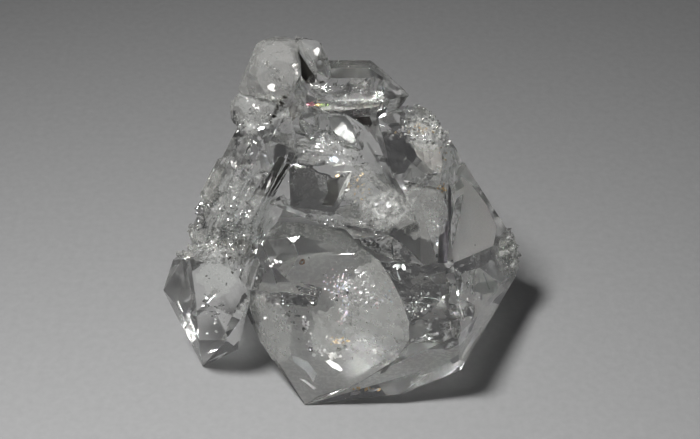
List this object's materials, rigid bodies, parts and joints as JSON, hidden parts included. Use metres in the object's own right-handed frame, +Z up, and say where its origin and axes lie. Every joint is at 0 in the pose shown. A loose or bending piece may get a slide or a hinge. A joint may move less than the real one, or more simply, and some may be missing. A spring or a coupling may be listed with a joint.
{
  "type": "herkimer diamond cluster",
  "caption": "Cluster of intergrown clear quartz crystals with six-sided pyramid ends and crusts of tiny points, resting on the flat underside of its largest crystal.",
  "frame": {"origin": "middle of the footprint's bounding box, on the surface the cluster rests on", "axes": "+Z up, +X to the right and -Y towards the viewer of the side with the large front facets"},
  "size_m": [0.0508, 0.0386, 0.0437],
  "materials": {
    "quartz": "clear natural quartz, growth faces glossy, contact areas and crusts satin"
  },
  "bodies": {
    "root": {"quartz_cluster": "quartz"}
  },
  "joints": []
}
